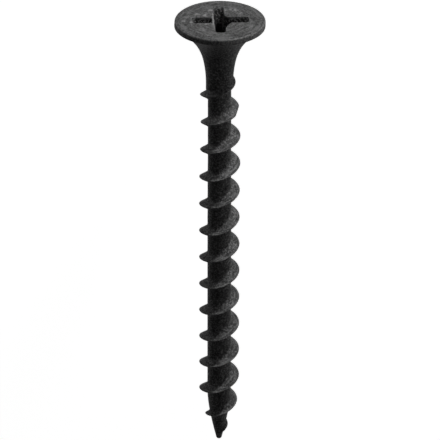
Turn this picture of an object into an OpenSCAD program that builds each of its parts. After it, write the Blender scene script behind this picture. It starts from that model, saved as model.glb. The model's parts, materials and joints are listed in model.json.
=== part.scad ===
// Coarse-thread drywall screw with a bugle head and a cross recess, one piece of steel.
// It is drawn along z, from the face of the head at z = 0 to the point, and then laid down as it
// comes to rest: on the rim of its head and on a crest of its thread, with the point towards +X.

/* [Shank] */
// Length from the face of the head to the end of the point
screw_length = 44.2; // [38:0.1:60]
// Diameter of the plain neck under the head
neck_dia = 2.5; // [2.36:0.02:2.9]
// Diameter of the shank between the threads
root_dia = 2.2; // [1.9:0.02:2.3]
// Depth at which the neck ends, from the face of the head
neck_depth = 6.7; // [6.6:0.1:12]
// Length of the cone from the neck down to the root of the thread
neck_cone = 0.6; // [0.4:0.1:2]

/* [Head] */
// Diameter of the head
head_dia = 8.26; // [7.8:0.02:9]
// Height of the cylindrical rim
rim_height = 0.53; // [0.35:0.01:0.8]
// Radius of the rounded edge between face and rim
edge_round = 0.12; // [0.05:0.01:0.25]
// Width of the step under the rim
rim_step = 0.1; // [0.05:0.01:0.3]
// Radius of the curve that flares out from the neck to the rim
flare_radius = 5.1; // [4.6:0.1:6]
// Radius of the long curve between flare and neck
neck_curve = 10.5; // [6:0.5:14]
// Slope at which the two curves meet, in degrees
curve_slope = 12.9; // [8:0.1:16]

/* [Cross recess] */
// Distance across two opposite wings at the face
recess_span = 5.15; // [4.6:0.05:5.6]
// Width at the face of the two wings that lie along x
wing_width = 1.12; // [0.9:0.02:1.3]
// Width at the face of the two wings that lie along y
narrow_width = 0.92; // [0.84:0.02:1.3]
// Distance that these two stand off the middle of the other two
narrow_shift = 0.1; // [0:0.02:0.15]
// Depth of the recess where its floor meets the wings
recess_depth = 2.9; // [2.2:0.1:3.2]
// Draft of a wing's side walls, in degrees
wing_draft = 5; // [3:0.25:6]
// Slope of the wings' outer ends, in degrees from the axis
wing_slope = 26.5; // [22:0.5:28]
// Distance from the axis to the flats that cut the corners between wings, at the face
corner_reach = 0.9; // [0.84:0.02:1.1]
// Turn of the recess about the axis, in degrees
recess_turn = -2.7; // [-45:0.1:45]
// Distance that the recess is punched off the axis
recess_shift = 0.1; // [0:0.02:0.15]
// Length of the worn round on the corner between two wings
worn_length = 1.5; // [0.4:0.1:1.8]
// Width of that round
worn_width = 0.6; // [0.2:0.05:0.9]
// Depth of that round
worn_depth = 0.9; // [0.3:0.1:1.5]

/* [Thread] */
// Diameter over the crests
major_dia = 3.76; // [3.4:0.02:4.2]
// Advance in one turn
pitch = 2.822; // [2.2:0.01:3.4]
// Depth at which the thread starts, from the face of the head
thread_start = 5.29; // [5.2:0.01:8]
// Angle at which the thread starts, in degrees round the axis
start_angle = 260; // [0:10:350]
// Turns in which the thread grows to its full height
growing_turns = 0.8; // [0.5:0.05:1.5]
// Width of the flat on the crest
crest_width = 0.06; // [0.04:0.01:0.2]
// Width of the flank that faces the head, along the axis
head_flank = 0.52; // [0.3:0.01:0.6]
// Width of the flank that faces the point, along the axis
point_flank = 0.48; // [0.3:0.01:0.6]
// Height and width of the bevel that stands for the rounded foot of a flank
root_round = 0.1; // [0.04:0.01:0.15]
// Distance from the axis to the flat that the rolling left on the first full turn
flat_reach = 1.66; // [1.4:0.01:1.8]
// Angle of that flat round the axis, in degrees
flat_angle = 13; // [0:1:90]

/* [Point] */
// Length over which the shank tapers to the point
point_length = 5.2; // [4:0.1:8]
// Length over which the crests come down to the point
crest_taper = 4.9; // [4:0.1:8]
// Radius of the blunt end
tip_radius = 0.28; // [0.15:0.01:0.4]
// Distance from the end of the thread to the end of the point
thread_stop = 0.6; // [0.5:0.1:2]
// Turns in which the thread fades out at the point
fading_turns = 0.35; // [0.1:0.05:1]

/* [Lying] */
// Roll about its own axis in which the screw lies still, in degrees
lying_roll = -11.2; // [-180:0.1:180]

/* [Hidden] */

head_r = head_dia / 2;
neck_r = neck_dia / 2;
root_r = root_dia / 2;
major_r = major_dia / 2;
recess_r = recess_span / 2;
thread_height = major_r - root_r;

// Segments of the revolved outline's curves, and of the helix in one turn
around = 72;
flare_segments = 10;
curve_segments = 5;
edge_segments = 4;
point_segments = 8;
tip_segments = 4;
steps_per_turn = 36;

// How far the thread's foot goes into the shank, and cuts go past a face
sunk = 0.15;
past = 0.2;
// How bluntly the shank and the crests narrow: 1 is a straight cone
point_bluntness = 1.35;
crest_bluntness = 0.68;
// Least height of the thread, at its two ends
least_height = 0.05;
// Share of a turn, to each side, that the flat can reach
flat_share = 0.2;
// Angle round the axis that faces down
bottom_angle = 270 - lying_roll;

function arc(centre, radius, from, to, segments) =
    [for (i = [0:segments]) let(a = from + (to - from) * i / segments)
        [centre[0] + radius * cos(a), centre[1] + radius * sin(a)]];

// The bugle: the flare leaves the rim, meets the neck's long curve at curve_slope, and that curve
// runs out along the neck.
meet_r = neck_r + neck_curve * (1 - cos(curve_slope));
rim_slope = acos(cos(curve_slope) - (head_r - rim_step - meet_r) / flare_radius);
meet_z = rim_height + flare_radius * (sin(rim_slope) - sin(curve_slope));
bugle_end = meet_z + neck_curve * sin(curve_slope);
flare_centre = [meet_r + flare_radius * cos(curve_slope), meet_z + flare_radius * sin(curve_slope)];

taper_z = screw_length - point_length;
tip_z = screw_length - tip_radius;

// Radius of the shank inside the thread at depth z
function shank_r(z) =
    z <= taper_z ? root_r
    : root_r - (root_r - tip_radius) * pow(min(1, (z - taper_z) / (tip_z - taper_z)), point_bluntness);

// Outline of the screw without its thread: radius against depth
body_outline = concat(
    [[0, 0]],
    arc([head_r - edge_round, edge_round], edge_round, -90, 0, edge_segments),
    [[head_r, rim_height]],
    arc(flare_centre, flare_radius, 180 + rim_slope, 180 + curve_slope, flare_segments),
    arc([neck_r + neck_curve, bugle_end], neck_curve, 180 + curve_slope * (1 - 1 / curve_segments),
        180, curve_segments - 1),
    [[neck_r, max(neck_depth, bugle_end + past)]],
    [[root_r, max(neck_depth, bugle_end + past) + neck_cone]],
    [for (i = [0:point_segments]) let(z = taper_z + (tip_z - taper_z) * i / point_segments)
        [shank_r(z), z]],
    [for (p = arc([0, tip_z], tip_radius, 0, 90, tip_segments)) if (p[1] > tip_z) p]);

// The thread, as turns t counted from its start
thread_turns = (screw_length - thread_stop - thread_start) / pitch;

function thread_z(t) = thread_start + t * pitch;
function thread_angle(t) = start_angle + 360 * t;

// Radius of the crest: it grows out of the neck, is flat once where the rolling left it so, comes
// down along a curve towards the point and fades out there.
function grown_r(t) = root_r + thread_height * sin(90 * min(1, t / growing_turns));
function taper_r(z) = major_r * pow(max(0, min(1, (screw_length - z) / crest_taper)), crest_bluntness);
flat_turn = 2 + (flat_angle - start_angle) / 360;
function flat_r(t) =
    abs(t - flat_turn) < flat_share ? flat_reach / cos(360 * (t - flat_turn)) : major_r;
function crest_r(t) =
    let(base = shank_r(thread_z(t)),
        full = min(grown_r(t), taper_r(thread_z(t)), flat_r(t)),
        fade = max(0, min(1, (thread_turns - t) / fading_turns)))
    base + max(least_height, (full - base) * fade);

// Section of the thread at turn t: [radius, distance along the axis], from the head's side round
function thread_section(t) =
    let(base = shank_r(thread_z(t)),
        crest = crest_r(t),
        share = (crest - base) / thread_height,
        bevel = root_round * share,
        half = crest_width / 2,
        foot = (root_round + sunk) * share)
    [[base - sunk, -half - head_flank * share - foot],
     [base + bevel, -half - head_flank * share + bevel * head_flank / thread_height],
     [crest, -half],
     [crest, half],
     [base + bevel, half + point_flank * share - bevel * point_flank / thread_height],
     [base - sunk, half + point_flank * share + foot]];

function on_helix(t, point) =
    [point[0] * cos(thread_angle(t)), point[0] * sin(thread_angle(t)), thread_z(t) + point[1]];

module thread() {
    steps = floor(thread_turns * steps_per_turn);
    sides = len(thread_section(0));
    points = [for (i = [0:steps]) for (p = thread_section(i / steps_per_turn))
        on_helix(i / steps_per_turn, p)];
    skin = [for (i = [0:steps - 1]) for (k = [0:sides - 1])
        let(a = sides * i + k, b = sides * i + (k + 1) % sides)
        each [[a, b, b + sides], [a, b + sides, a + sides]]];
    first_end = [for (k = [sides - 1:-1:0]) k];
    last_end = [for (k = [0:sides - 1]) sides * steps + k];
    polyhedron(points, concat([first_end], skin, [last_end]), convexity = 12);
}

module body() {
    rotate_extrude($fn = around) polygon(body_outline);
}

// A drafted slot through the axis, along x: its width is given at the face
module slot(width, length, draft) {
    top = width / 2 + past * tan(draft);
    bottom = width / 2 - (recess_depth + past) * tan(draft);
    rotate([90, 0, 90]) translate([0, 0, -length / 2]) linear_extrude(length)
        polygon([[-top, -past], [top, -past], [bottom, recess_depth + past],
                 [-bottom, recess_depth + past]]);
}

// Envelope of the recess: sloping wing ends, and a shallow conical floor
module recess_envelope() {
    floor_r = recess_r - recess_depth * tan(wing_slope);
    rotate_extrude($fn = around)
        polygon([[0, -past], [recess_r + past * tan(wing_slope), -past],
                 [floor_r, recess_depth - floor_r * tan(20)], [0, recess_depth]]);
}

// The corner between the near wing and the right one is worn to a broad round near the face
module worn_corner() {
    worn_radius = (pow(worn_width, 2) + pow(worn_length, 2)) / (2 * worn_width);
    near_side = narrow_width / 2 - narrow_shift;
    right_side = wing_width / 2;
    translate([0, 0, -past]) linear_extrude(worn_depth + past) difference() {
        square([near_side + worn_width, right_side + worn_length]);
        translate([near_side + worn_radius, right_side + worn_length])
            circle(worn_radius, $fn = around);
    }
}

module cross_recess() {
    length = recess_span + 1;
    translate([recess_shift, 0, 0]) rotate(recess_turn) {
        intersection() {
            recess_envelope();
            union() {
                slot(wing_width, length, wing_draft);
                translate([-narrow_shift, 0, 0]) rotate(90) slot(narrow_width, length, wing_draft);
                intersection() {
                    rotate(45) slot(2 * corner_reach, length, wing_draft);
                    rotate(-45) slot(2 * corner_reach, length, wing_draft);
                }
            }
        }
        worn_corner();
    }
}

// The crests under the axis, at the bottom of each turn: the screw rests on the one that the
// line from the rim meets first.
rest_turn = (bottom_angle - start_angle + 720) % 360 / 360;
rest_slopes = [for (t = [rest_turn:1:thread_turns])
    (head_r - crest_r(t)) / (thread_z(t) + crest_width / 2 - rim_height)];
lying_tilt = atan(min(rest_slopes));
lying_height = head_r * cos(lying_tilt) + rim_height * sin(lying_tilt);
lowest_x = edge_round * (cos(lying_tilt) - 1) - (head_r - edge_round) * sin(lying_tilt);
highest_x = tip_z * cos(lying_tilt) + tip_radius;

module screw() {
    color([0.16, 0.16, 0.17])
        translate([-(lowest_x + highest_x) / 2, 0, lying_height])
        rotate([0, lying_tilt, 0]) rotate([90, 0, 90]) rotate(lying_roll)
        difference() {
            union() {
                body();
                thread();
            }
            cross_recess();
        }
}

screw();
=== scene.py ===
import json
import math
from functools import partial
import bpy
import bmesh
from mathutils import Matrix, Vector
from mathutils.kdtree import KDTree


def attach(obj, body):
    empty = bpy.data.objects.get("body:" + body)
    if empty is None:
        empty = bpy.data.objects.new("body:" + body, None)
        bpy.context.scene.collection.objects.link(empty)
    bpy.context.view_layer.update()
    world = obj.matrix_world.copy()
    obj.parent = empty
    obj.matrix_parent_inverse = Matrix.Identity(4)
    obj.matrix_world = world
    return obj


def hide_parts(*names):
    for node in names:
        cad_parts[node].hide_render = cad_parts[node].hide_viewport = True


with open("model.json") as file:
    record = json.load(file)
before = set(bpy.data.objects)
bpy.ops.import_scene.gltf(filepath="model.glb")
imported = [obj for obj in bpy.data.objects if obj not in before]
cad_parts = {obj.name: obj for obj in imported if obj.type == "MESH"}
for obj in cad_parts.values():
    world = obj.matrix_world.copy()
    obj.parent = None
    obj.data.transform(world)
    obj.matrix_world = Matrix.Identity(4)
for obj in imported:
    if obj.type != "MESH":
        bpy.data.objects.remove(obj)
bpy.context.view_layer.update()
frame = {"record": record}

# A drywall screw lying on the rim of its head and on its thread. The looks are one closed mesh:
# the head is lofted ring by ring, and the threaded shank is grown by Geometry Nodes.
# Lengths in the dictionaries are millimetres, along and round the screw's own axis, and depths
# are measured from the head's face.
mm = 0.001

screwSizes = {
    "length": 44.2,
    "neckRadius": 1.25,
    "neckCurve": 10.5,          # long curve that runs the flare out into the neck
    "curveSlope": 12.9,         # degrees, where the two curves of the bugle meet
    "flareRadius": 5.1,
    "rimHeight": 0.53,
    "headRadius": 4.13,
    "rimTaper": 0.01,           # the rim narrows this much towards the face
    "rimStep": 0.1,             # the flare starts this far inside the rim
    "edgeRound": 0.2,
    "lowerEdgeWidth": 0.04,     # the rim's lower edge is slightly broken
    "lowerEdgeHeight": 0.03,
    "faceShift": 0.04,          # the head was struck a little off the axis
    "shiftDepth": 2.0,          # which is gone by this depth
    "faceRise": 0.03,
    "faceRings": 24,            # rings across the flat face
    "faceCrowding": 1.2,        # how much closer these are at the recess's lip
    "edgeRings": 6,             # and down each part of the bugle
    "lowerEdgeRings": 3,
    "flareRings": 26,
    "curveRings": 12,
    "stepsPerTurn": 144,        # the head's rings and the thread share these
    "startAngle": 260.0,        # degrees
    "joinDepth": 5.0,           # ring where the lofted head meets the grown shank
    "lyingRoll": -11.2,         # degrees about the axis, as the part's source has it
    "weld": 0.0006,             # points closer than this are one
    "poleWeld": 0.002,          # and so are those about the very end of the point
    "sliver": 0.00001,          # faces thinner than this are dissolved
}


def addNode(tree, kind, *inputs, **settings):
    # A node with its settings, values and links. The inputs stand in order or in one dictionary,
    # a node among them gives its first output, and a kind in capitals is an operation of Math.
    if kind.isupper():
        kind, settings["operation"] = "ShaderNodeMath", kind
    node = tree.nodes.new(kind)
    for name, value in settings.items():
        setattr(node, name, value)
    slots = inputs[0] if inputs and isinstance(inputs[0], dict) else dict(enumerate(inputs))
    for slot, value in slots.items():
        if isinstance(value, bpy.types.Node):
            value = value.outputs[0]
        if isinstance(value, bpy.types.NodeSocket):
            tree.links.new(value, node.inputs[slot])
        else:
            node.inputs[slot].default_value = value
    return node


def linearColour(code):
    # an sRGB hex value as the linear RGBA that the sockets take
    values = [int(code[k:k + 2], 16) / 255 for k in (1, 3, 5)]
    return [v / 12.92 if v <= 0.04045 else ((v + 0.055) / 1.055) ** 2.4 for v in values] + [1.0]


def screwPlace():
    # from the screw's own millimetres, along z from the head's face, to the frame
    mounts = {m["name"]: m for m in frame["record"]["mounts"]}
    axis = Vector(mounts["thread"]["axis"]).normalized()
    seat = Vector(mounts["bugle_seat"]["pos_m"]) - axis * screwSizes["rimHeight"] * mm
    right = Matrix.Rotation(math.radians(screwSizes["lyingRoll"]), 3, axis) @ Vector((0, 1, 0))
    front = axis.cross(right)
    turned = Matrix((right, front, axis)).transposed().to_4x4()
    return Matrix.Translation(seat) @ turned @ Matrix.Scale(mm, 4)


# The bugle head

def ringPoints(radius, depth):
    # one ring of the head, in step with the turns of the thread
    steps, start = screwSizes["stepsPerTurn"], math.radians(screwSizes["startAngle"])
    angles = [start + 2 * math.pi * i / steps for i in range(steps)]
    return [Vector((radius * math.cos(a), radius * math.sin(a), depth)) for a in angles]


def faceRadius():
    return screwSizes["headRadius"] - screwSizes["rimTaper"]


def bugleOutline():
    # (radius, depth) pairs from the face's rounded edge down to the joining ring
    size = screwSizes
    slope = math.radians(size["curveSlope"])
    flare, curve, edge = size["flareRadius"], size["neckCurve"], size["edgeRound"]
    meetRadius = size["neckRadius"] + curve * (1 - math.cos(slope))
    rimSlope = math.acos(math.cos(slope) - (size["headRadius"] - size["rimStep"] - meetRadius) / flare)
    meetDepth = size["rimHeight"] + flare * (math.sin(rimSlope) - math.sin(slope))
    bugleEnd = meetDepth + curve * math.sin(slope)
    points = []
    for k in range(size["edgeRings"] + 1):          # the rounded edge of the face
        a = math.pi / 2 * k / size["edgeRings"]
        points.append((faceRadius() - edge + edge * math.sin(a), edge - edge * math.cos(a)))
    for share in (0.25, 0.5, 0.8, 0.95):            # the rim's side
        points.append((faceRadius() + size["rimTaper"] * share, edge + (size["rimHeight"] - edge) * share))
    for k in range(1, size["lowerEdgeRings"] + 1):
        a = math.pi / 2 * k / size["lowerEdgeRings"]
        points.append((size["headRadius"] - size["lowerEdgeWidth"] * (1 - math.cos(a)),
                       size["rimHeight"] + size["lowerEdgeHeight"] * math.sin(a)))
    for k in range(size["flareRings"] + 1):
        a = rimSlope + (slope - rimSlope) * k / size["flareRings"]
        lowered = size["lowerEdgeHeight"] * (1 - k / size["flareRings"])
        points.append((meetRadius + flare * (math.cos(slope) - math.cos(a)),
                       meetDepth + flare * (math.sin(slope) - math.sin(a)) + lowered))
    lowest = math.asin((bugleEnd - size["joinDepth"]) / curve)
    for k in range(1, size["curveRings"] + 1):      # the long curve into the neck
        a = slope + (lowest - slope) * k / size["curveRings"]
        points.append((size["neckRadius"] + curve * (1 - math.cos(a)), bugleEnd - curve * math.sin(a)))
    return points, bugleEnd


# The cross recess

recessSizes = {
    "span": 5.15,
    "width": 1.12,              # of the two wings along x
    "narrowWidth": 0.92,        # of the two along y
    "narrowShift": 0.1,         # and how far these stand off the others' middle
    "depth": 2.9,
    "draft": 5.0,               # degrees, side walls
    "wingSlope": 26.5,          # degrees, wing ends
    "cornerReach": 0.9,
    "turn": -2.7,               # degrees
    "shift": 0.05,              # punched this far off the axis
    "edgeRound": 0.035,         # the punch rolls the edge over
    "farRoll": 0.27,            # and most of all the end of one narrow wing
    "farFrom": 0.35,            # which starts this far inside the wing's end
    "farOver": 0.3,             # and is full after this much more
    "floorSlope": 20.0,         # degrees
    "wornLength": 1.5,          # one corner between wings is worn to a broad round
    "wornWidth": 0.6,
    "wornDepth": 0.9,
    "wornFrom": 0.9,            # share of the walls' distance at which the wear may start
    "sidePoints": 11,
    "endPoints": 10,
    "flatPoints": 4,
    "levels": 40,               # outlines worked out between face and floor
    "floorGuess": 1.6,          # depth at which the search for the floor starts
    "floorPasses": 12,
    "floorRings": (0.12, 0.3, 0.5, 0.7, 0.85, 0.95),    # shares of the way out to the walls
    "wallRings": (0.985, 0.95, 0.9, 0.8, 0.7, 0.6, 0.5, 0.42, 0.34, 0.27, 0.2, 0.14, 0.09, 0.05),
    "edgeRings": 5,
}


def crossOutline(depth, grow=0.0):
    # the recess's outline at a depth, wing by wing, anticlockwise in the screw's own x and y
    size = recessSizes
    drawnIn = grow - depth * math.tan(math.radians(size["draft"]))
    wide, narrow = size["width"] / 2 + drawnIn, size["narrowWidth"] / 2 + drawnIn
    reach = size["span"] / 2 - depth * math.tan(math.radians(size["wingSlope"])) + grow
    diagonal = (size["cornerReach"] + drawnIn) * math.sqrt(2)
    shift = size["narrowShift"]
    sides = [(-wide, wide), (shift - narrow, shift + narrow),
             (-wide, wide), (-shift - narrow, narrow - shift)]
    loop = []
    for quarter, (low, high) in enumerate(sides):
        lowNext = sides[(quarter + 1) % 4][0]
        wing = alongWing(diagonal + low, math.sqrt(reach ** 2 - low ** 2), low)
        start, end = math.asin(low / reach), math.asin(high / reach)
        for k in range(1, size["endPoints"] + 1):
            a = start + (end - start) * k / (size["endPoints"] + 1)
            wing.append(Vector((reach * math.cos(a), reach * math.sin(a))))
        wing += alongWing(math.sqrt(reach ** 2 - high ** 2), diagonal - high, high)
        flatEnd = Vector((-lowNext, diagonal + lowNext))
        steps = size["flatPoints"] + 1
        wing += [wing[-1].lerp(flatEnd, k / steps) for k in range(1, steps)]
        turned = Matrix.Rotation(math.pi / 2 * quarter, 2)
        loop += [turned @ p for p in wing]
    for _ in range(2):          # soft corners
        loop = [(loop[i - 1] + 2 * loop[i] + loop[(i + 1) % len(loop)]) / 4 for i in range(len(loop))]
    fade = max(0.0, 1 - depth / size["wornDepth"])
    return [wornPoint(p, narrow - shift, wide, fade) for p in loop]


def alongWing(start, end, side):
    # points along one side wall of a wing that points along x
    last = recessSizes["sidePoints"] - 1
    return [Vector((start + (end - start) * k / last, side)) for k in range(last + 1)]


def wornPoint(point, nearSide, rightSide, fade):
    # moves a point between the near wing and the right one out to the worn round
    size = recessSizes
    if fade <= 0 or point.x < nearSide * size["wornFrom"] or point.y < rightSide * size["wornFrom"]:
        return point
    radius = (size["wornWidth"] ** 2 + size["wornLength"] ** 2) / (2 * size["wornWidth"])
    centre = Vector((nearSide + radius, rightSide + size["wornLength"]))
    way = point.normalized()
    along = way.dot(centre)
    under = radius ** 2 - (centre.length_squared - along ** 2)
    if under <= 0:
        return point
    distance = along - math.sqrt(under)
    if distance <= point.length:
        return point
    return point + way * (distance - point.length) * fade


def farEnd(point):
    # 1 at the end of the wing that points along -y, 0 elsewhere
    size = recessSizes
    return min(1.0, max(0.0, (-point.y - size["span"] / 2 + size["farFrom"]) / size["farOver"]))


def nearestStart(ring):
    # the outline's point that lies in step with the head's first ring point
    start = math.radians(screwSizes["startAngle"])
    way = Vector((math.cos(start), math.sin(start)))
    return max(range(len(ring)), key=lambda i: Vector((ring[i].x, ring[i].y)).normalized().dot(way))


def recessRings():
    # rings from the recess's floor up its walls and over its edge to the face
    size = recessSizes
    slope = math.tan(math.radians(size["floorSlope"]))
    levels = size["levels"]
    outlines = [crossOutline(k / levels * size["depth"]) for k in range(levels + 1)]

    def outlineAt(index, depth):
        place = min(max(depth / size["depth"] * levels, 0), levels - 0.001)
        low = int(place)
        return outlines[low][index].lerp(outlines[low + 1][index], place - low)

    bottoms = [size["floorGuess"]] * len(outlines[0])
    for _ in range(size["floorPasses"]):            # where each wall meets the conical floor
        bottoms = [size["depth"] - outlineAt(i, b).length * slope for i, b in enumerate(bottoms)]
    rings = []
    for share in size["floorRings"]:
        flat = [outlineAt(i, b) * share for i, b in enumerate(bottoms)]
        rings.append([Vector((p.x, p.y, size["depth"] - p.length * slope)) for p in flat])
    for share in size["wallRings"]:
        wall = [outlineAt(i, b * share) for i, b in enumerate(bottoms)]
        rings.append([Vector((p.x, p.y, b * share)) for p, b in zip(wall, bottoms)])
    for k in range(1, size["edgeRings"] + 1):       # the edge rolled over by the punch
        a = math.pi / 2 * k / size["edgeRings"]
        loop = crossOutline(0.0, size["edgeRound"] * (1 - math.cos(a)))
        ring = []
        for p in loop:
            far = size["farRoll"] * (1 - math.cos(a)) * farEnd(p)
            ring.append(Vector((p.x, p.y - far, size["edgeRound"] * (1 - math.sin(a)))))
        rings.append(ring)
    turned = Matrix.Rotation(math.radians(size["turn"]), 4, "Z")
    shift = Vector((size["shift"], 0, 0))
    rings = [[turned @ p + shift for p in ring] for ring in rings]
    first = nearestStart(rings[-1])
    return [ring[first:] + ring[:first] for ring in rings], shift + Vector((0, 0, size["depth"]))


# The burr

burrSizes = {
    "fromDepth": -1.75,         # its two ends along y, which is away from the middle of the recess
    "toDepth": 2.4,
    "beside": 0.14,             # stands this far outside the narrow wings' left wall
    "bendsIn": 0.1,             # and follows the near wing's end in
    "width": 0.18,
    "height": 0.09,
    "proud": 0.02,
    "waviness": 0.02,
    "waveRate": 5.0,            # radians in each mm, and where the first wave starts
    "waveStart": 1.0,
    "lumpiness": 0.2,           # share by which it swells and shrinks
    "lumpRate": 9.0,
    "endPower": 0.35,           # how blunt its two ends are
    # how much lighter the burr is: bare metal, with a painted highlight
    "bareAndHighlight": 0.5,
    "rings": 40,
    "sides": 8,
}


def addBurr(mesh):
    # a sliver that the punch raised along one side of the narrow wings, across another wing's mouth
    size, recess = burrSizes, recessSizes
    wall = -recess["narrowWidth"] / 2 - recess["narrowShift"]
    turned = Matrix.Rotation(math.radians(recess["turn"]), 4, "Z")
    rows = []
    for i in range(size["rings"] + 1):
        share = i / size["rings"]
        y = size["fromDepth"] + (size["toDepth"] - size["fromDepth"]) * share
        bend = size["bendsIn"] * max(0.0, share * 2 - 1) ** 2
        wave = size["waviness"] * math.sin(y * size["waveRate"] + size["waveStart"])
        full = math.sin(math.pi * share) ** size["endPower"]
        full *= 1 + size["lumpiness"] * math.sin(y * size["lumpRate"])
        row = []
        for k in range(size["sides"] if 0 < i < size["rings"] else 1):
            a = 2 * math.pi * k / size["sides"]
            x = wall - size["beside"] + bend + wave + size["width"] / 2 * full * math.cos(a)
            down = size["height"] / 2 * (1 + full * math.sin(a)) - size["proud"]
            row.append(mesh.verts.new(turned @ Vector((x, y, down)) + Vector((recess["shift"], 0, 0))))
        rows.append(row)
    for one, other in zip(rows, rows[1:]):
        for k in range(size["sides"]):
            j = (k + 1) % size["sides"]
            corners = [one[k % len(one)], one[j % len(one)], other[j % len(other)], other[k % len(other)]]
            mesh.faces.new([v for n, v in enumerate(corners) if v not in corners[:n]])


# The whole head, with what the finish reads on it

headCoat = {
    "rimLightening": 0.12,         # how much lighter the rim's side is painted
    "rimBand": 0.05,            # which starts this far inside the face's radius
    "edgeWearAndHighlight": 0.5,         # how much lighter the rim's edge is: rubbed bare, with a painted highlight
    "edgeFade": 0.32,           # a full lightening would fade out over this distance
    "faceMarking": 0.3,         # how plainly the turned marks show on the face
    "shade": 0.75,              # how much painted shade darkens the recess, down to shadeDepth
    "shadeDepth": 0.3,
    "deepShade": 0.25,          # and how much more from deepFrom down to twice that
    "deepFrom": 0.8,
    "flowRound": 3.0,           # stretches the turned marks round the face
    "scuffSteepness": 2.5,      # a scuff is at its barest within 0.6 of its radius
}


def dressHead(data, recessEnd, burrStart):
    coat = headCoat
    names = ("rubbed", "rolled", "sunk", "grainy", "flow")
    for name in names:
        data.attributes.new(name, "FLOAT_VECTOR" if name == "flow" else "FLOAT", "POINT")
    rubbed, rolled, sunk, grainy, flow = (data.attributes[name].data for name in names)
    for vertex in data.vertices:
        i = vertex.index
        x, y, depth = vertex.co
        radius = math.hypot(x, y)
        onEdge = coat["edgeWearAndHighlight"] - math.hypot(radius - faceRadius(), depth) / coat["edgeFade"]
        onRim = coat["rimLightening"] if radius > faceRadius() - coat["rimBand"] and depth > 0 else 0.0
        # lighter colour: wear, with a painted highlight along the face's edge and the burr
        rubbed[i].value = burrSizes["bareAndHighlight"] if i >= burrStart else max(onRim, onEdge)
        rolled[i].value = coat["faceMarking"] if depth < 0.001 and i < burrStart else 0.0
        # painted shade: the recess gets darker with depth, and nothing outside it
        dark = coat["shade"] * min(1.0, depth / coat["shadeDepth"])
        dark += coat["deepShade"] * min(1.0, max(0.0, depth / coat["deepFrom"] - 1))
        sunk[i].value = dark if i < recessEnd else 0.0
        # share of painted glints: none in the recess and on the rim, growing down the flare
        bare = i < recessEnd or depth < screwSizes["rimHeight"]
        grainy[i].value = 0.0 if bare else min(1.0, depth / screwSizes["joinDepth"])
        around = coat["flowRound"] / max(radius, 0.01)
        flow[i].vector = (around * x, around * y, radius)


def strikeOff(data):
    # the face stands a little off the axis, and a little proud
    size = screwSizes
    for vertex in data.vertices:
        x, y, depth = vertex.co
        raised = max(0.0, 1 - max(0.0, depth) / size["rimHeight"])
        aside = max(0.0, 1 - depth / size["shiftDepth"]) ** 2 if depth > 0 else 1.0
        vertex.co = (x + size["faceShift"] * aside, y, depth - size["faceRise"] * raised)


def loftHead():
    outline, bugleEnd = bugleOutline()
    rings, floor = recessRings()
    steps = screwSizes["stepsPerTurn"]
    recessEnd = 1 + len(rings) * steps
    lip = rings[-1]
    edge = ringPoints(*outline[0])
    for k in range(1, screwSizes["faceRings"]):     # the flat face
        share = (k / screwSizes["faceRings"]) ** screwSizes["faceCrowding"]
        rings.append([a.lerp(b, share) for a, b in zip(lip, edge)])
    rings += [ringPoints(radius, depth) for radius, depth in outline]
    mesh = bmesh.new()
    centre = mesh.verts.new(floor)
    rows = [[mesh.verts.new(p) for p in ring] for ring in rings]
    for i in range(steps):
        mesh.faces.new((centre, rows[0][i], rows[0][(i + 1) % steps]))
    for upper, lower in zip(rows, rows[1:]):
        for i in range(steps):
            j = (i + 1) % steps
            mesh.faces.new((upper[i], lower[i], lower[j], upper[j]))
    burrStart = len(mesh.verts)
    addBurr(mesh)
    data = bpy.data.meshes.new("head")
    mesh.to_mesh(data)
    mesh.free()
    dressHead(data, recessEnd, burrStart)
    strikeOff(data)
    print("head lofted:", len(rings), "rings of", steps)
    return data, bugleEnd


# The threaded shank

threadSizes = {
    "pitch": 2.822,
    "rootRadius": 1.1,
    "majorRadius": 1.88,
    "threadStart": 5.29,
    "growingTurns": 0.8,
    "firstGrowth": 0.88,        # share of the height that the first turn reaches
    "fullTurns": 3.8,
    "slimRoot": 0.03,           # the root is this much thinner where the thread starts
    "slimFrom": 12.6,           # depths between which it comes to its full radius
    "slimTo": 21.0,
    "headFlank": 0.54,          # along the axis, from crest to root
    "pointFlank": 0.5,
    "crestRound": 0.04,
    "footRound": 0.12,
    "drunken": 0.17,            # the dies pressed the thread this much deeper on one side
    "drunkenAngle": 100.0,      # degrees, where that is
    "drunkenFrom": 8.5,         # depths between which that comes
    "drunkenFull": 15.0,
    "eccentric": 0.09,          # at first the dies sat this far off the wire's centre
    "eccentricFrom": 0.6,       # turns between which that comes and goes again
    "eccentricMost": 2.2,
    "centredTurn": 4.5,
    "flatReach": 1.68,          # flat that the rolling left on the first full turn
    "flatSlope": 0.34,
    "flatAngle": 13.0,          # degrees
    "flatTurns": 0.2,           # it reaches this far to both sides
    "leastCosine": 0.3,         # keeps its rule from dividing by nothing in the other turns
    "neckDepth": 6.6,
    "neckSlant": 0.25,          # the neck ends deeper on one side
    "neckCone": 0.6,
    "pointLength": 5.2,
    "pointBluntness": 1.5,
    "crestTaper": 4.9,
    "crestBluntness": 0.68,
    "tipRadius": 0.28,
    "threadStop": 0.36,
    "fadingTurns": 0.25,
    "fadingDrop": 0.25,         # the crest sinks this far below its taper in those turns
    "rowsAcross": 36,           # rows of faces in one pitch
    "rowCrowding": 1.4,         # how much closer these are at the crest
    "leadSteps": 80,            # the strip starts this far above the joining ring
    "trailSteps": 74,           # and ends this far past the point
    "marking": 0.6,             # how plainly the dies' marks show on the flanks
    "markedFrom": 0.1,          # heights over the shank between which they come
    "markedFull": 0.5,
    "crestRubbing": 0.2,        # how bare the crest is
    "rubbedReach": 0.09,        # distances from it between which that comes
    "barestReach": 0.02,
    "flowRound": 9.4,           # stretches the marks round the thread, in each turn
    "flowAcross": 1.8,
    "stripWeld": 0.0004,
}

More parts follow.
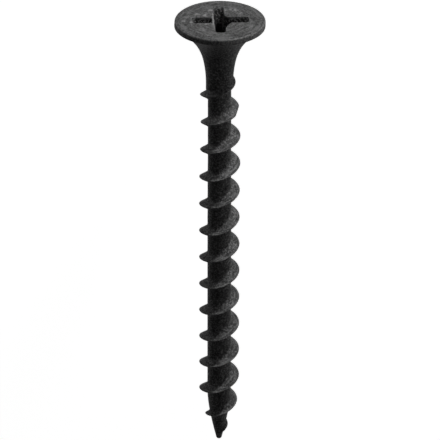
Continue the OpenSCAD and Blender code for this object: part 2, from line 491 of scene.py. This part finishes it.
surfaceSizes = {
    "unevenness": 0.012,        # height of the dents that heading and rolling leave
    "unevenLength": 0.9,        # distance between them
    "seed": 7.0,
}

wholeNumbers = ("stepsAlong", "rowsAcross")


def treeSizes(bugleEnd):
    # all that the tree takes as its named inputs
    thread, screw = threadSizes, screwSizes
    sizes = {name: thread[name] for name in thread if name not in ("flatAngle", "leadSteps", "trailSteps")}
    for name in ("length", "neckRadius", "neckCurve", "startAngle", "joinDepth", "stepsPerTurn"):
        sizes[name] = screw[name]
    sizes.update(surfaceSizes)
    sizes["bugleEnd"] = bugleEnd
    sizes["startAngle"] = math.radians(screw["startAngle"])
    sizes["drunkenAngle"] = math.radians(thread["drunkenAngle"])
    stepsPerMm = screw["stepsPerTurn"] / thread["pitch"]
    first = math.floor((screw["joinDepth"] - thread["threadStart"]) * stepsPerMm) - thread["leadSteps"]
    last = math.ceil((screw["length"] + 1 - thread["threadStart"]) * stepsPerMm) + thread["trailSteps"]
    sizes["firstStep"] = first
    sizes["stepsAlong"] = last - first
    sizes["flatTurn"] = 2 + (thread["flatAngle"] - screw["startAngle"]) / 360
    return sizes


def stripDepths(put, given, angle, across, crestDepth):
    # the helix, leaning on one side, held at the joining ring, and slowed towards the very end so
    # that its cap is round
    raw = put("ADD", put("MULTIPLY", across, given["pitch"]), crestDepth)
    pointStart = put("SUBTRACT", given["length"], given["pointLength"])
    comes = put("ShaderNodeMapRange", raw, given["drunkenFrom"], given["drunkenFull"],
                interpolation_type="SMOOTHSTEP")
    goes = put("ShaderNodeMapRange", raw, given["length"], pointStart, interpolation_type="SMOOTHSTEP")
    sideOn = put("MAXIMUM", put("COSINE", put("SUBTRACT", angle, given["drunkenAngle"])), 0)
    most = put("MULTIPLY", put("MULTIPLY", sideOn, sideOn), given["drunken"])
    leaning = put("ADD", raw, put("MULTIPLY", put("MULTIPLY", comes, goes), most))
    held = put("MAXIMUM", leaning, given["joinDepth"])
    left = put("MAXIMUM", put("SUBTRACT", put("ADD", given["length"], given["tipRadius"]), held), 0)
    slow = put("MINIMUM", left, put("MULTIPLY", given["tipRadius"], 2))
    square = put("DIVIDE", put("MULTIPLY", slow, slow), put("MULTIPLY", given["tipRadius"], 4))
    return put("SUBTRACT", given["length"], put("ADD", square, put("SUBTRACT", left, slow)))


def shankRadius(put, given, angle, depth):
    # neck, cone to the root, point and blunt end
    curve, tip = given["neckCurve"], given["tipRadius"]
    rise = put("MAXIMUM", put("SUBTRACT", given["bugleEnd"], depth), 0)
    inside = put("SUBTRACT", put("MULTIPLY", curve, curve), put("MULTIPLY", rise, rise))
    neck = put("SUBTRACT", put("ADD", given["neckRadius"], curve), put("SQRT", inside))
    slant = put("MULTIPLY", put("COSINE", angle), given["neckSlant"])
    coneStart = put("SUBTRACT", given["neckDepth"], slant)
    coneEnd = put("ADD", coneStart, given["neckCone"])
    cone = put("ShaderNodeMapRange", depth, coneStart, coneEnd, interpolation_type="SMOOTHSTEP")
    slim = put("ShaderNodeMapRange", depth, given["slimFrom"], given["slimTo"], given["slimRoot"], 0.0,
               interpolation_type="SMOOTHSTEP")
    drawnIn = put("SUBTRACT", put("SUBTRACT", given["rootRadius"], slim), neck)
    straight = put("ADD", neck, put("MULTIPLY", drawnIn, cone))
    tipDepth = put("SUBTRACT", given["length"], tip)
    pointStart = put("SUBTRACT", given["length"], given["pointLength"])
    inPoint = put("ShaderNodeMapRange", depth, pointStart, tipDepth)
    narrowed = put("MULTIPLY", put("SUBTRACT", given["rootRadius"], tip),
                   put("POWER", inPoint, given["pointBluntness"]))
    past = put("MAXIMUM", put("SUBTRACT", depth, tipDepth), 0)
    cap = put("SUBTRACT", put("MULTIPLY", tip, tip), put("MULTIPLY", past, past))
    capRadius = put("SQRT", put("MAXIMUM", cap, 0))
    return put("ADD", put("SUBTRACT", straight, narrowed), put("SUBTRACT", capRadius, tip))


def crestRadius(put, given, turn, angle, crestDepth, height):
    # grows out of the neck, comes down to the point and fades out
    growing = put("MINIMUM", put("MAXIMUM", put("DIVIDE", turn, given["growingTurns"]), 0), 1)
    later = put("ShaderNodeMapRange", turn, given["growingTurns"], given["fullTurns"],
                given["firstGrowth"], 1.0, interpolation_type="SMOOTHSTEP")
    share = put("MULTIPLY", put("SINE", put("MULTIPLY", growing, math.pi / 2)), later)
    grown = put("ADD", put("MULTIPLY", share, height), given["rootRadius"])
    tapers = put("DIVIDE", put("SUBTRACT", given["length"], crestDepth), given["crestTaper"])
    toEnd = put("MINIMUM", put("MAXIMUM", tapers, 0), 1)
    taper = put("MULTIPLY", put("POWER", toEnd, given["crestBluntness"]), given["majorRadius"])
    lastDepth = put("SUBTRACT", given["length"], given["threadStop"])
    lastTurn = put("DIVIDE", put("SUBTRACT", lastDepth, given["threadStart"]), given["pitch"])
    fade = put("DIVIDE", put("SUBTRACT", lastTurn, turn), given["fadingTurns"])
    faded = put("SUBTRACT", 1, put("MINIMUM", put("MAXIMUM", fade, 0), 1))
    crest = put("SUBTRACT", put("MINIMUM", grown, taper), put("MULTIPLY", faded, given["fadingDrop"]))
    offCentre = put("ShaderNodeMapRange", turn, given["eccentricFrom"], given["eccentricMost"],
                    interpolation_type="SMOOTHSTEP")
    centred = put("ShaderNodeMapRange", turn, given["eccentricMost"], given["centredTurn"],
                  given["eccentric"], 0.0, interpolation_type="SMOOTHSTEP")
    return put("ADD", crest, put("MULTIPLY", put("COSINE", angle), put("MULTIPLY", offCentre, centred)))


def threadRadius(put, given, turn, across, shank, crest, height):
    # the flanks fall from a rounded crest and meet the shank in a fillet
    acrossMm = put("MULTIPLY", across, given["pitch"])
    away = put("ABSOLUTE", acrossMm)
    rounding = given["crestRound"]
    slant = put("SQRT", put("ADD", put("MULTIPLY", away, away), put("MULTIPLY", rounding, rounding)))
    wider = put("SUBTRACT", given["headFlank"], given["pointFlank"])
    flank = put("ADD", given["pointFlank"], put("MULTIPLY", put("LESS_THAN", across, 0), wider))
    fall = put("MULTIPLY", put("SUBTRACT", slant, rounding), put("DIVIDE", height, flank))
    radius = put("SMOOTH_MAX", shank, put("SUBTRACT", crest, fall), given["footRound"])

    # the flat on the first full turn
    fromFlat = put("SUBTRACT", turn, given["flatTurn"])
    squareOn = put("MAXIMUM", put("COSINE", put("MULTIPLY", fromFlat, 2 * math.pi)), given["leastCosine"])
    beyond = put("SUBTRACT", 1, put("LESS_THAN", put("ABSOLUTE", fromFlat), given["flatTurns"]))
    reach = put("SUBTRACT", given["flatReach"], put("MULTIPLY", acrossMm, given["flatSlope"]))
    limit = put("ADD", put("DIVIDE", reach, squareOn), put("MULTIPLY", beyond, 9))   # 9 limits nothing
    return put("MAXIMUM", put("MINIMUM", radius, limit), shank), away


def threadTree(sizes, finish):
    # One strip, a pitch wide, winds down the shank. Each of its points gets its depth from the
    # helix and its radius from the rule of shank and thread, and its edges weld turn to turn.
    tree = bpy.data.node_groups.new("rolledThread", "GeometryNodeTree")
    tree.interface.new_socket("Geometry", in_out="INPUT", socket_type="NodeSocketGeometry")
    identifiers = {}
    for name in sizes:
        kind = "NodeSocketInt" if name in wholeNumbers else "NodeSocketFloat"
        identifiers[name] = tree.interface.new_socket(name, in_out="INPUT", socket_type=kind).identifier
    tree.interface.new_socket("Geometry", in_out="OUTPUT", socket_type="NodeSocketGeometry")
    given = tree.nodes.new("NodeGroupInput").outputs
    put = partial(addNode, tree)

    # the strip's own grid, and each point's place in it
    rows = put("ADD", given["rowsAcross"], 1)
    grid = put("GeometryNodeMeshGrid", {"Vertices X": given["stepsAlong"], "Vertices Y": rows})
    index = put("GeometryNodeInputIndex")
    step = put("FLOOR", put("DIVIDE", index, rows))
    row = put("SUBTRACT", index, put("MULTIPLY", step, rows))
    turn = put("DIVIDE", put("ADD", step, given["firstStep"]), given["stepsPerTurn"])
    angle = put("ADD", put("MULTIPLY", turn, 2 * math.pi), given["startAngle"])
    side = put("SUBTRACT", put("MULTIPLY", put("DIVIDE", row, given["rowsAcross"]), 2), 1)
    spread = put("MULTIPLY", put("POWER", put("ABSOLUTE", side), given["rowCrowding"]), 0.5)
    across = put("MULTIPLY", put("SIGN", side), spread)

    crestDepth = put("ADD", put("MULTIPLY", turn, given["pitch"]), given["threadStart"])
    depth = stripDepths(put, given, angle, across, crestDepth)
    height = put("SUBTRACT", given["majorRadius"], given["rootRadius"])
    shank = shankRadius(put, given, angle, depth)
    crest = crestRadius(put, given, turn, angle, crestDepth, height)
    radius, away = threadRadius(put, given, turn, across, shank, crest, height)
    place = put("ShaderNodeCombineXYZ", put("MULTIPLY", radius, put("COSINE", angle)),
                put("MULTIPLY", radius, put("SINE", angle)), depth)
    strip = put("GeometryNodeSetPosition", {"Geometry": grid, "Position": place})

    # what the finish reads: rubbing at the crest, and the flow of the rolling marks on the flanks
    overShank = put("SUBTRACT", radius, shank)
    proud = put("ShaderNodeMapRange", overShank, given["markedFrom"], given["markedFull"])
    rubbed = put("ShaderNodeMapRange", away, given["rubbedReach"], given["barestReach"],
                 0.0, given["crestRubbing"])
    flowAcross = put("MULTIPLY", given["pitch"], given["flowAcross"])
    flow = put("ShaderNodeCombineXYZ", put("MULTIPLY", turn, given["flowRound"]), 0.0,
               put("MULTIPLY", across, flowAcross))
    for name, kind, value in (("rubbed", "FLOAT", put("MULTIPLY", rubbed, proud)),
                              ("rolled", "FLOAT", put("MULTIPLY", proud, given["marking"])),
                              ("grainy", "FLOAT", 1.0), ("flow", "FLOAT_VECTOR", flow)):
        strip = put("GeometryNodeStoreNamedAttribute", {"Geometry": strip, "Name": name, "Value": value},
                    data_type=kind, domain="POINT")
    joined = put("GeometryNodeJoinGeometry")
    tree.links.new(strip.outputs[0], joined.inputs[0])
    tree.links.new(given["Geometry"], joined.inputs[0])
    welded = put("GeometryNodeMergeByDistance", {"Geometry": joined, "Distance": given["stripWeld"]})

    # what heading, rolling and the bath leave: shallow unevenness
    dents = put("ShaderNodeTexNoise", {"W": given["seed"], "Scale": put("DIVIDE", 1, given["unevenLength"]),
                                       "Detail": 3.0}, noise_dimensions="4D")
    swell = put("MULTIPLY", put("SUBTRACT", dents, 0.5), put("MULTIPLY", given["unevenness"], 2))
    normal = put("GeometryNodeInputNormal")
    offset = put("ShaderNodeVectorMath", {0: normal, "Scale": swell}, operation="SCALE")
    uneven = put("GeometryNodeSetPosition", {"Geometry": welded, "Offset": offset})
    smooth = put("GeometryNodeSetShadeSmooth", {"Geometry": uneven})
    real = put("GeometryNodeRealizeInstances", {"Geometry": smooth})
    dressed = put("GeometryNodeSetMaterial", {"Geometry": real, "Material": finish})
    put("NodeGroupOutput", {"Geometry": dressed})
    return tree, identifiers


# Spots of the face where the coat is scuffed: x and y of the middle, radius, and how bare
scuffs = [
    (-1.37, -0.95, 0.20, 0.8), (-1.25, -0.72, 0.14, 0.6), (-1.25, -1.2, 0.14, 0.5),
    (-3.26, 0.29, 0.17, 0.8), (-2.01, -1.16, 0.30, 0.5), (-1.18, 0.90, 0.18, 0.6),
    (-2.54, 0.50, 0.22, 0.45), (0.98, -2.21, 0.20, 0.45), (1.43, -2.01, 0.28, 0.55),
    (1.88, -1.38, 0.24, 0.4), (0.53, -2.0, 0.20, 0.4), (-0.83, -2.0, 0.30, 0.5),
    (-3.0, -0.6, 0.35, 0.2), (-1.6, 2.0, 0.5, 0.15), (2.7, 1.2, 0.4, 0.15),
]


def scuff(mesh):
    # raises the rubbing about each spot
    tree = KDTree(len(mesh.vertices))
    for vertex in mesh.vertices:
        tree.insert(vertex.co, vertex.index)
    tree.balance()
    rubbed = mesh.attributes["rubbed"].data
    for x, y, radius, bare in scuffs:
        for _, index, distance in tree.find_range((x, y, 0.0), radius):
            share = bare * min(1.0, headCoat["scuffSteepness"] * (1 - distance / radius))
            rubbed[index].value = max(rubbed[index].value, share)


def grownMesh(finish):
    # the head's mesh with the shank grown on to it, as one plain mesh
    data, bugleEnd = loftHead()
    seedling = bpy.data.objects.new("seedling", data)
    bpy.context.scene.collection.objects.link(seedling)
    sizes = treeSizes(bugleEnd)
    tree, identifiers = threadTree(sizes, finish)
    grower = seedling.modifiers.new("rolledThread", "NODES")
    grower.node_group = tree
    for name, identifier in identifiers.items():
        grower[identifier] = int(sizes[name]) if name in wholeNumbers else float(sizes[name])
    graph = bpy.context.evaluated_depsgraph_get()
    mesh = bpy.data.meshes.new_from_object(seedling.evaluated_get(graph))
    bpy.data.objects.remove(seedling)
    return mesh


def makeScrew(finish):
    mesh = grownMesh(finish)
    shape = bmesh.new()
    shape.from_mesh(mesh)
    bmesh.ops.remove_doubles(shape, verts=shape.verts, dist=screwSizes["weld"])
    pole = Vector((0, 0, screwSizes["length"]))
    tip = [v for v in shape.verts if (v.co - pole).length < screwSizes["poleWeld"]]
    bmesh.ops.pointmerge(shape, verts=tip, merge_co=pole)
    bmesh.ops.dissolve_degenerate(shape, dist=screwSizes["sliver"], edges=shape.edges)
    bmesh.ops.recalc_face_normals(shape, faces=shape.faces)
    openEdges = sum(1 for e in shape.edges if not e.is_manifold)
    volume = shape.calc_volume(signed=True)
    shape.to_mesh(mesh)
    shape.free()
    scuff(mesh)
    mesh.transform(screwPlace())
    mesh.name = "drywallScrew"
    screw = bpy.data.objects.new("drywallScrew", mesh)
    bpy.context.scene.collection.objects.link(screw)
    print("screw grown:", len(mesh.polygons), "faces,", openEdges, "open edges,",
          round(volume, 1), "cubic mm")
    return screw


# Finish

finishSizes = {
    "crystal": 0.17,            # grains of the phosphate, drawn this coarse so that they show
    "mottle": 0.8,              # patches of thicker and thinner coating
    "mark": 0.24,               # spacing of the rolling marks on the flanks
    "markLength": 1.1,
    "grainDepth": 0.02,
    "markDepth": 0.02,
}


def blackPhosphatedSteel():
    # Black zinc phosphate on rolled carbon steel: a matt, crystalline, near-black coat with fine grey
    # specks, thinnest on crests and edges. Its colour also holds painted glints of crystals, painted
    # highlights on the face's edge and the burr, and painted shade in the recess.
    size = finishSizes
    finish = bpy.data.materials.new("blackPhosphatedSteel")
    finish.use_nodes = True
    tree = finish.node_tree
    tree.nodes.clear()
    put = partial(addNode, tree)

    place = put("ShaderNodeTexCoord").outputs["Object"]
    crystals = put("ShaderNodeTexNoise", {"Vector": place, "Scale": 1 / (size["crystal"] * mm),
                                          "Detail": 1.0, "Roughness": 0.6})
    patches = put("ShaderNodeTexNoise", {"Vector": place, "Scale": 1 / (size["mottle"] * mm),
                                         "Detail": 4.0, "Roughness": 0.6})
    flow = put("ShaderNodeAttribute", attribute_name="flow").outputs["Vector"]
    stretch = (1 / size["markLength"], 1 / size["markLength"], 1 / size["mark"])
    laid = put("ShaderNodeMapping", {"Vector": flow, "Scale": stretch})
    marks = put("ShaderNodeTexNoise", {"Vector": laid, "Scale": 1.0, "Detail": 3.0, "Roughness": 0.6})
    names = ("rolled", "rubbed", "sunk", "grainy")
    rolled, rubbed, sunk, grainy = (put("ShaderNodeAttribute", attribute_name=name).outputs["Fac"]
                                    for name in names)

    tips = put("ShaderNodeMapRange", crystals, 0.38, 0.62)
    thin = put("ShaderNodeMapRange", patches, 0.42, 0.64, 0.0, 0.6)
    hollows = put("MULTIPLY", put("ShaderNodeMapRange", marks, 0.5, 0.4), rolled)
    ridges = put("MULTIPLY", put("ShaderNodeMapRange", marks, 0.5, 0.62), rolled)
    patchy = put("MULTIPLY", grainy, put("ShaderNodeMapRange", patches, 0.42, 0.6, 0.08, 0.45))
    paintedGlints = put("MULTIPLY", put("ShaderNodeMapRange", crystals, 0.54, 0.64), patchy)
    wornAndHighlit = put("MULTIPLY", put("ShaderNodeMapRange", crystals, 0.35, 0.65, 0.5, 1.0), rubbed)
    shallow = put("MULTIPLY", sunk, put("ShaderNodeMapRange", sunk, 1.0, 0.75))
    specks = put("MULTIPLY", put("ShaderNodeMapRange", crystals, 0.53, 0.61), shallow)
    layers = (
        (tips, "#4e4e4e"),          # tips of the crystals
        (thin, "#4c4c4c"),          # patches of thinner coat
        (hollows, "#262626"),       # the dies' marks, in hollows and ridges
        (ridges, "#7c7c7c"),
        (paintedGlints, "#949494"),       # painted glints of crystals on the shank and thread
        (wornAndHighlit, "#a4a4a4"),          # rubbed thin, with painted highlights on the face's edge and the burr
        (sunk, "#0e0e0e"),          # painted shade, darker with depth in the recess
        (specks, "#747474"),        # and a few bright crystals in it, fewer where that painted shade is deepest
    )
    coat = linearColour("#1c1c1c")
    for share, colour in layers:
        layer = put("ShaderNodeMix", {0: share, 6: coat, 7: linearColour(colour)}, data_type="RGBA")
        coat = layer.outputs[2]

    gloss = put("ShaderNodeMapRange", crystals, 0.3, 0.7, 0.68, 0.55)
    grooves = put("ShaderNodeBump", {"Height": put("MULTIPLY", marks, rolled), "Strength": 0.5,
                                     "Distance": size["markDepth"] * mm})
    grain = put("ShaderNodeBump", {"Height": crystals, "Strength": 0.6,
                                   "Distance": size["grainDepth"] * mm, "Normal": grooves})
    surface = put("ShaderNodeBsdfPrincipled", {"Base Color": coat, "Roughness": gloss, "Normal": grain,
                                               "Metallic": 0.0, "Specular IOR Level": 0.25})
    put("ShaderNodeOutputMaterial", {"Surface": surface})
    print("finish made:", finish.name)
    return finish


# Studio

cameraSizes = {
    "elevation": 28.63,         # degrees that the view leans from square on towards the head
    "aimDepth": 20.54,          # place on the axis that the view aims at, mm from the face
    "distance": 384.6,          # mm; a long lens from far off
    "pixelsPerMm": 10.802,      # at the aim, in a picture 440 pixels wide
    "pictureWidth": 440.0,
    "aimColumn": 219.33,        # where the aim stands in that picture
    "roll": 0.1,                # degrees
    "sensor": 36.0,
    "clip": (0.01, 10.0),       # metres
}


def makeCamera():
    size = cameraSizes
    place = screwPlace()
    turned = place.to_3x3().normalized()
    right, front, axis = (turned @ Vector(v) for v in ((1, 0, 0), (0, 1, 0), (0, 0, 1)))
    lean = math.radians(size["elevation"])
    back = front * math.cos(lean) - axis * math.sin(lean)
    up = -front * math.sin(lean) - axis * math.cos(lean)
    aside = right * (size["pictureWidth"] / 2 - size["aimColumn"]) / size["pixelsPerMm"]
    aim = place @ Vector((0, 0, size["aimDepth"])) + aside * mm
    data = bpy.data.cameras.new("camera")
    data.sensor_width = size["sensor"]
    data.lens = size["pixelsPerMm"] * size["distance"] * size["sensor"] / size["pictureWidth"]
    data.clip_start, data.clip_end = size["clip"]
    camera = bpy.data.objects.new("camera", data)
    bpy.context.scene.collection.objects.link(camera)
    look = Matrix((right, up, back)).transposed() @ Matrix.Rotation(math.radians(size["roll"]), 3, "Z")
    camera.matrix_world = Matrix.Translation(aim + back * size["distance"] * mm) @ look.to_4x4()
    bpy.context.scene.camera = camera
    print("camera:", round(data.lens, 1), "mm lens")


lampSizes = {                   # where each lamp stands, how wide and tall it is, in metres, and its watts
    "keyLamp": {"place": (-0.130, 0.052, 0.0066), "size": 0.02, "tall": 0.007, "power": 0.1225},
    "headLamp": {"place": (-0.130, -0.060, 0.0066), "size": 0.02, "tall": 0.007, "power": 0.021},
    "topLamp": {"place": (-0.10, 0.05, 0.5), "size": 0.3, "tall": 0.3, "power": 0.19},
    "sideLamp": {"place": (-0.25, 0.40, 0.03), "size": 0.2, "tall": 0.05, "power": 0.32},
}
lampAim = (0.0, 0.0, 0.003)


def addLamp(name, place, size, tall, power):
    data = bpy.data.lights.new(name, "AREA")
    data.shape = "ELLIPSE"
    data.size, data.size_y = size, tall
    data.energy = power
    lamp = bpy.data.objects.new(name, data)
    bpy.context.scene.collection.objects.link(lamp)
    lamp.location = place
    lamp.rotation_mode = "QUATERNION"
    lamp.rotation_quaternion = (Vector(lampAim) - Vector(place)).to_track_quat("-Z", "Y")
    lamp.visible_camera = False


airSizes = {
    "fill": 0.013,              # light of the room itself, where the backdrop's white is 1
    "mirroredShare": 0.5,       # how much of the white around it the finish mirrors
    "overhead": 0.03,           # what it mirrors from above
    "whiteBelow": 0.0,          # height of the mirrored direction, as a sine, under which it is white
    "darkAbove": 0.2,
    "paperGlow": 0.945,         # added to the lamps' light on the paper, so that it shows white
    "paperReach": 1.5,          # metres
}


def backgroundShares(tree):
    # how much of the background's white each ray sees: to the camera, and mirrored by the finish
    rays = addNode(tree, "ShaderNodeLightPath").outputs
    mirrored = addNode(tree, "MAXIMUM", rays["Is Glossy Ray"], rays["Is Transmission Ray"])
    return rays["Is Camera Ray"], addNode(tree, "MULTIPLY", mirrored, airSizes["mirroredShare"])


def makeAir():
    size = airSizes
    world = bpy.data.worlds.new("studioAir")
    bpy.context.scene.world = world
    world.use_nodes = True
    tree = world.node_tree
    tree.nodes.clear()
    direct, mirrored = backgroundShares(tree)
    way = addNode(tree, "ShaderNodeSeparateXYZ", addNode(tree, "ShaderNodeTexCoord"))
    backdrop = addNode(tree, "ShaderNodeMapRange", way.outputs["Z"], size["whiteBelow"], size["darkAbove"],
                       1.0, size["overhead"] / size["mirroredShare"])
    mirrored = addNode(tree, "MULTIPLY", mirrored, backdrop)
    strength = addNode(tree, "MAXIMUM", addNode(tree, "MAXIMUM", direct, mirrored), size["fill"])
    air = addNode(tree, "ShaderNodeBackground", {"Color": linearColour("#ffffff"), "Strength": strength})
    addNode(tree, "ShaderNodeOutputWorld", {"Surface": air})


def makeFloor():
    # a pale paper that shows white and keeps the screw's soft shadow
    size = airSizes
    paper = bpy.data.materials.new("paleFloor")
    paper.use_nodes = True
    tree = paper.node_tree
    tree.nodes.clear()
    share = addNode(tree, "MAXIMUM", *backgroundShares(tree))
    strength = addNode(tree, "MULTIPLY", share, size["paperGlow"])
    glow = addNode(tree, "ShaderNodeEmission", {"Color": linearColour("#ffffff"), "Strength": strength})
    matt = addNode(tree, "ShaderNodeBsdfDiffuse", {"Color": linearColour("#d2d2d2")})
    addNode(tree, "ShaderNodeOutputMaterial", {"Surface": addNode(tree, "ShaderNodeAddShader", matt, glow)})
    mesh = bpy.data.meshes.new("floor")
    reach = size["paperReach"]
    corners = [(-reach, -reach, 0), (reach, -reach, 0), (reach, reach, 0), (-reach, reach, 0)]
    mesh.from_pydata(corners, [], [(0, 1, 2, 3)])
    mesh.materials.append(paper)
    floor = bpy.data.objects.new("floor", mesh)
    bpy.context.scene.collection.objects.link(floor)


makeCamera()
finish = blackPhosphatedSteel()
screw = makeScrew(finish)
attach(screw, "root")
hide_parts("screw")
makeAir()
makeFloor()
for name, lamp in lampSizes.items():
    addLamp(name, **lamp)
bpy.context.scene.view_settings.view_transform = "Standard"
print("studio set")
